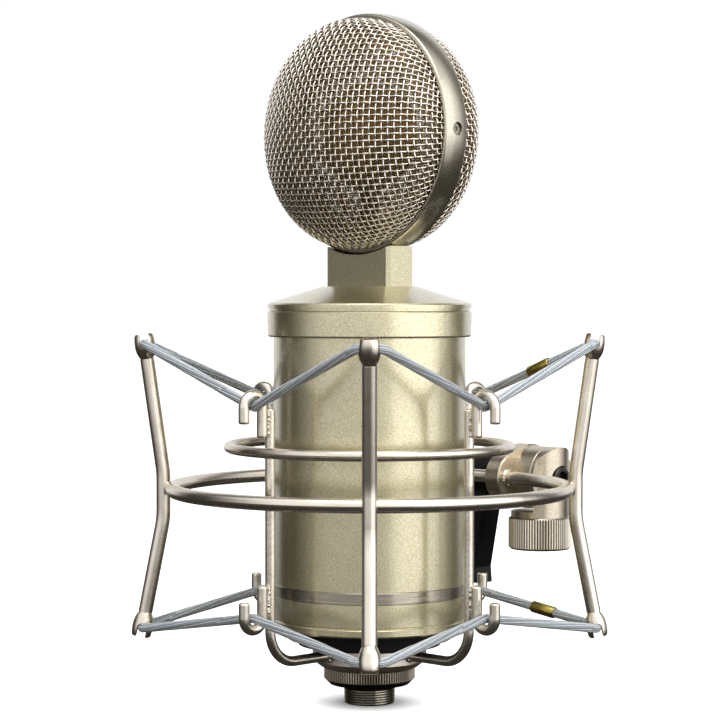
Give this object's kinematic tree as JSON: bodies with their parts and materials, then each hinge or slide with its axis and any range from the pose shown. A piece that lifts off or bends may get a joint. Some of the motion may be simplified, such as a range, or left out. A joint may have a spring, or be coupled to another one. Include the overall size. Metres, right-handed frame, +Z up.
{
  "type": "shock-mounted studio microphone",
  "caption": "Large-diaphragm side-address valve microphone hung by elastic loops in a welded wire cage, on a tilting stand swivel with clamp lever.",
  "frame": {"origin": "centre of the cable connector's open end, on the microphone's axis", "axes": "+Z up the microphone's axis to the head, -Y the way the microphone faces, stand swivel at +Y, tilt axis along X"},
  "size_m": [0.1428, 0.1664, 0.241],
  "materials": {
    "body_paint": "champagne metallic paint, fine satin flake",
    "band_metal": "satin grey-brown turned band",
    "grille_plate": "woven wire, nickel plated",
    "inner_gauze": "fine woven gauze",
    "gold_film": "gold-sputtered film, glossy",
    "capsule_brass": "satin machined brass",
    "black_plastic": "moulded, satin",
    "black_rubber": "matt black",
    "black_screw": "black oxide",
    "chassis_aluminium": "satin",
    "board_green": "solder mask",
    "capacitor_film": "dipped film capacitors",
    "valve_glass": "clear",
    "transformer_iron": "varnished laminations",
    "connector_metal": "dark gunmetal plating",
    "gold_pin": "gold plated",
    "cage_nickel": "satin nickel plate",
    "disc_metal": "satin plated steel",
    "tip_nickel": "polished nickel plate",
    "swivel_nickel": "bead-blasted nickel plate",
    "elastic_cord": "braided textile over elastic",
    "crimp_brass": "dull nickel-brass",
    "spring_steel": "plain"
  },
  "bodies": {
    "stand_collar": {"stand_collar": "swivel_nickel", "retaining_ring": "spring_steel"},
    "swivel": {"swivel_body": "swivel_nickel", "clamp_bolt": "black_screw"},
    "outer_cage": {"outer_ring": "cage_nickel", "outer_post_rear_right": "cage_nickel", "outer_post_rear_left": "cage_nickel", "outer_post_front_left": "cage_nickel", "outer_post_front_right": "cage_nickel", "upper_tips": "tip_nickel", "lower_tips": "tip_nickel", "lug_plate": "cage_nickel", "knuckle": "swivel_nickel", "thrust_washer": "tip_nickel", "upper_elastic": "elastic_cord", "lower_elastic": "elastic_cord", "upper_crimp": "crimp_brass", "lower_crimp": "crimp_brass"},
    "inner_cage": {"head_ring": "body_paint", "head_screws": "black_screw", "front_grille": "grille_plate", "rear_grille": "grille_plate", "front_inner_mesh": "inner_gauze", "rear_inner_mesh": "inner_gauze", "front_diaphragm": "gold_film", "rear_diaphragm": "gold_film", "front_clamp_ring": "capsule_brass", "rear_clamp_ring": "capsule_brass", "capsule_body": "capsule_brass", "capsule_saddle": "black_plastic", "neck_block": "body_paint", "top_cap": "body_paint", "cap_collar": "body_paint", "body_tube": "body_paint", "trim_band": "band_metal", "base_cap": "body_paint", "base_pad": "black_rubber", "chassis_frame": "chassis_aluminium", "circuit_board": "board_green", "capacitors": "capacitor_film", "valve": "valve_glass", "valve_socket": "black_plastic", "output_transformer": "transformer_iron", "connector_shell": "connector_metal", "connector_insert": "black_plastic", "connector_pins": "gold_pin", "inner_post_right": "cage_nickel", "inner_post_rear": "cage_nickel", "inner_post_left": "cage_nickel", "inner_post_front": "cage_nickel", "inner_ring": "cage_nickel", "cage_disc": "disc_metal", "upper_hooks": "cage_nickel", "lower_hooks": "cage_nickel"},
    "lock_ring": {"lock_ring": "connector_metal"},
    "lever_nut": {"lever_nut": "spring_steel", "lever_screw": "black_screw", "lever_spring": "spring_steel"},
    "lever_handle": {"lever_handle": "black_plastic"}
  },
  "joints": [
    {"name": "stand_swivel", "type": "hinge", "parent": "stand_collar", "child": "swivel", "pos_m": [0.0073, 0.0829, 0.0603], "axis": [0, 0, 1], "continuous": true},
    {"name": "cage_tilt", "type": "hinge", "parent": "swivel", "child": "outer_cage", "pos_m": [0, 0.0829, 0.0752], "axis": [-1, 0, 0], "range_deg": [-10, 90]},
    {"name": "suspension_float", "type": "slide", "parent": "outer_cage", "child": "inner_cage", "axis": [0, 0, 1], "range_m": [-0.006, 0.006], "stiffness_N_per_m": 4000, "springref_m": 0.00338, "deforming": ["upper_elastic", "lower_elastic"]},
    {"name": "lock_ring_turn", "type": "hinge", "parent": "inner_cage", "child": "lock_ring", "pos_m": [0, 0, 0.01], "axis": [0, 0, 1], "continuous": true},
    {"name": "lever_turn", "type": "hinge", "parent": "swivel", "child": "lever_nut", "pos_m": [0, 0.0829, 0.0752], "axis": [1, 0, 0], "range_deg": [-25, 90]},
    {"name": "lever_lift", "type": "slide", "parent": "lever_nut", "child": "lever_handle", "axis": [-1, 0, 0], "range_m": [0, 0.0028], "stiffness_N_per_m": 400, "springref_m": -0.002, "deforming": ["lever_spring"]}
  ]
}
